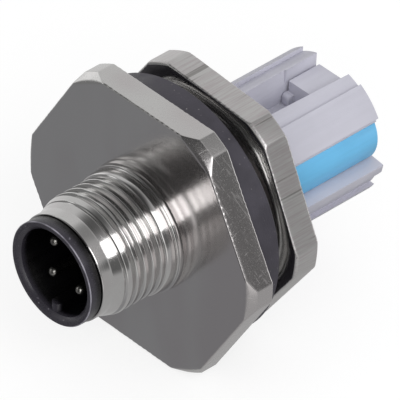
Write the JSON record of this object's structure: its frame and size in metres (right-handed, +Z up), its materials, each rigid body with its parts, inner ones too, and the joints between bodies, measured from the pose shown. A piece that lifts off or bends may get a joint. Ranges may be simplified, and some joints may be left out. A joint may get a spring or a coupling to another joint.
{
  "type": "m12 connector",
  "caption": "Male circular panel connector: threaded metal sleeve with hex flange, seal, lock nut and a slotted plastic rear body for quick wire connection.",
  "frame": {"origin": "On the connector's axis, in the rear face of the hex flange, where the panel seal sits.", "axes": "The connector's axis lies along Y: the mating face looks along -Y and the cable side along +Y. +Z is up, through the middle of a flange flat, and the coding key is at the bottom."},
  "size_m": [0.03, 0.035, 0.027],
  "materials": {
    "nickel": "nickel-plated brass, turned, with milled flats",
    "black_plastic": "moulded, satin",
    "rubber": "matte elastomer",
    "grey_plastic": "moulded light grey, satin",
    "blue_plastic": "moulded blue, satin",
    "contact_metal": "plated contact pins",
    "copper_alloy": "stamped copper alloy, bright"
  },
  "bodies": {
    "connector": {"housing": "nickel", "contact_insert": "black_plastic", "insert_o_ring": "rubber", "contact_pin_1": "contact_metal", "contact_pin_2": "contact_metal", "contact_pin_3": "contact_metal", "contact_pin_4": "contact_metal", "terminal_body": "grey_plastic", "contact_blade_1": "copper_alloy", "contact_blade_2": "copper_alloy", "contact_blade_3": "copper_alloy", "contact_blade_4": "copper_alloy", "wire_block_1": "grey_plastic", "wire_block_2": "grey_plastic", "wire_block_3": "grey_plastic", "wire_block_4": "grey_plastic", "chamber_cover_blue": "blue_plastic", "chamber_cover_plain": "grey_plastic", "panel_seal": "rubber"},
    "nut": {"lock_nut": "nickel"}
  },
  "joints": [
    {"name": "nut_travel", "type": "slide", "parent": "connector", "child": "nut", "axis": [0, 1, 0], "range_m": [-0.0017, 0.0039]}
  ]
}
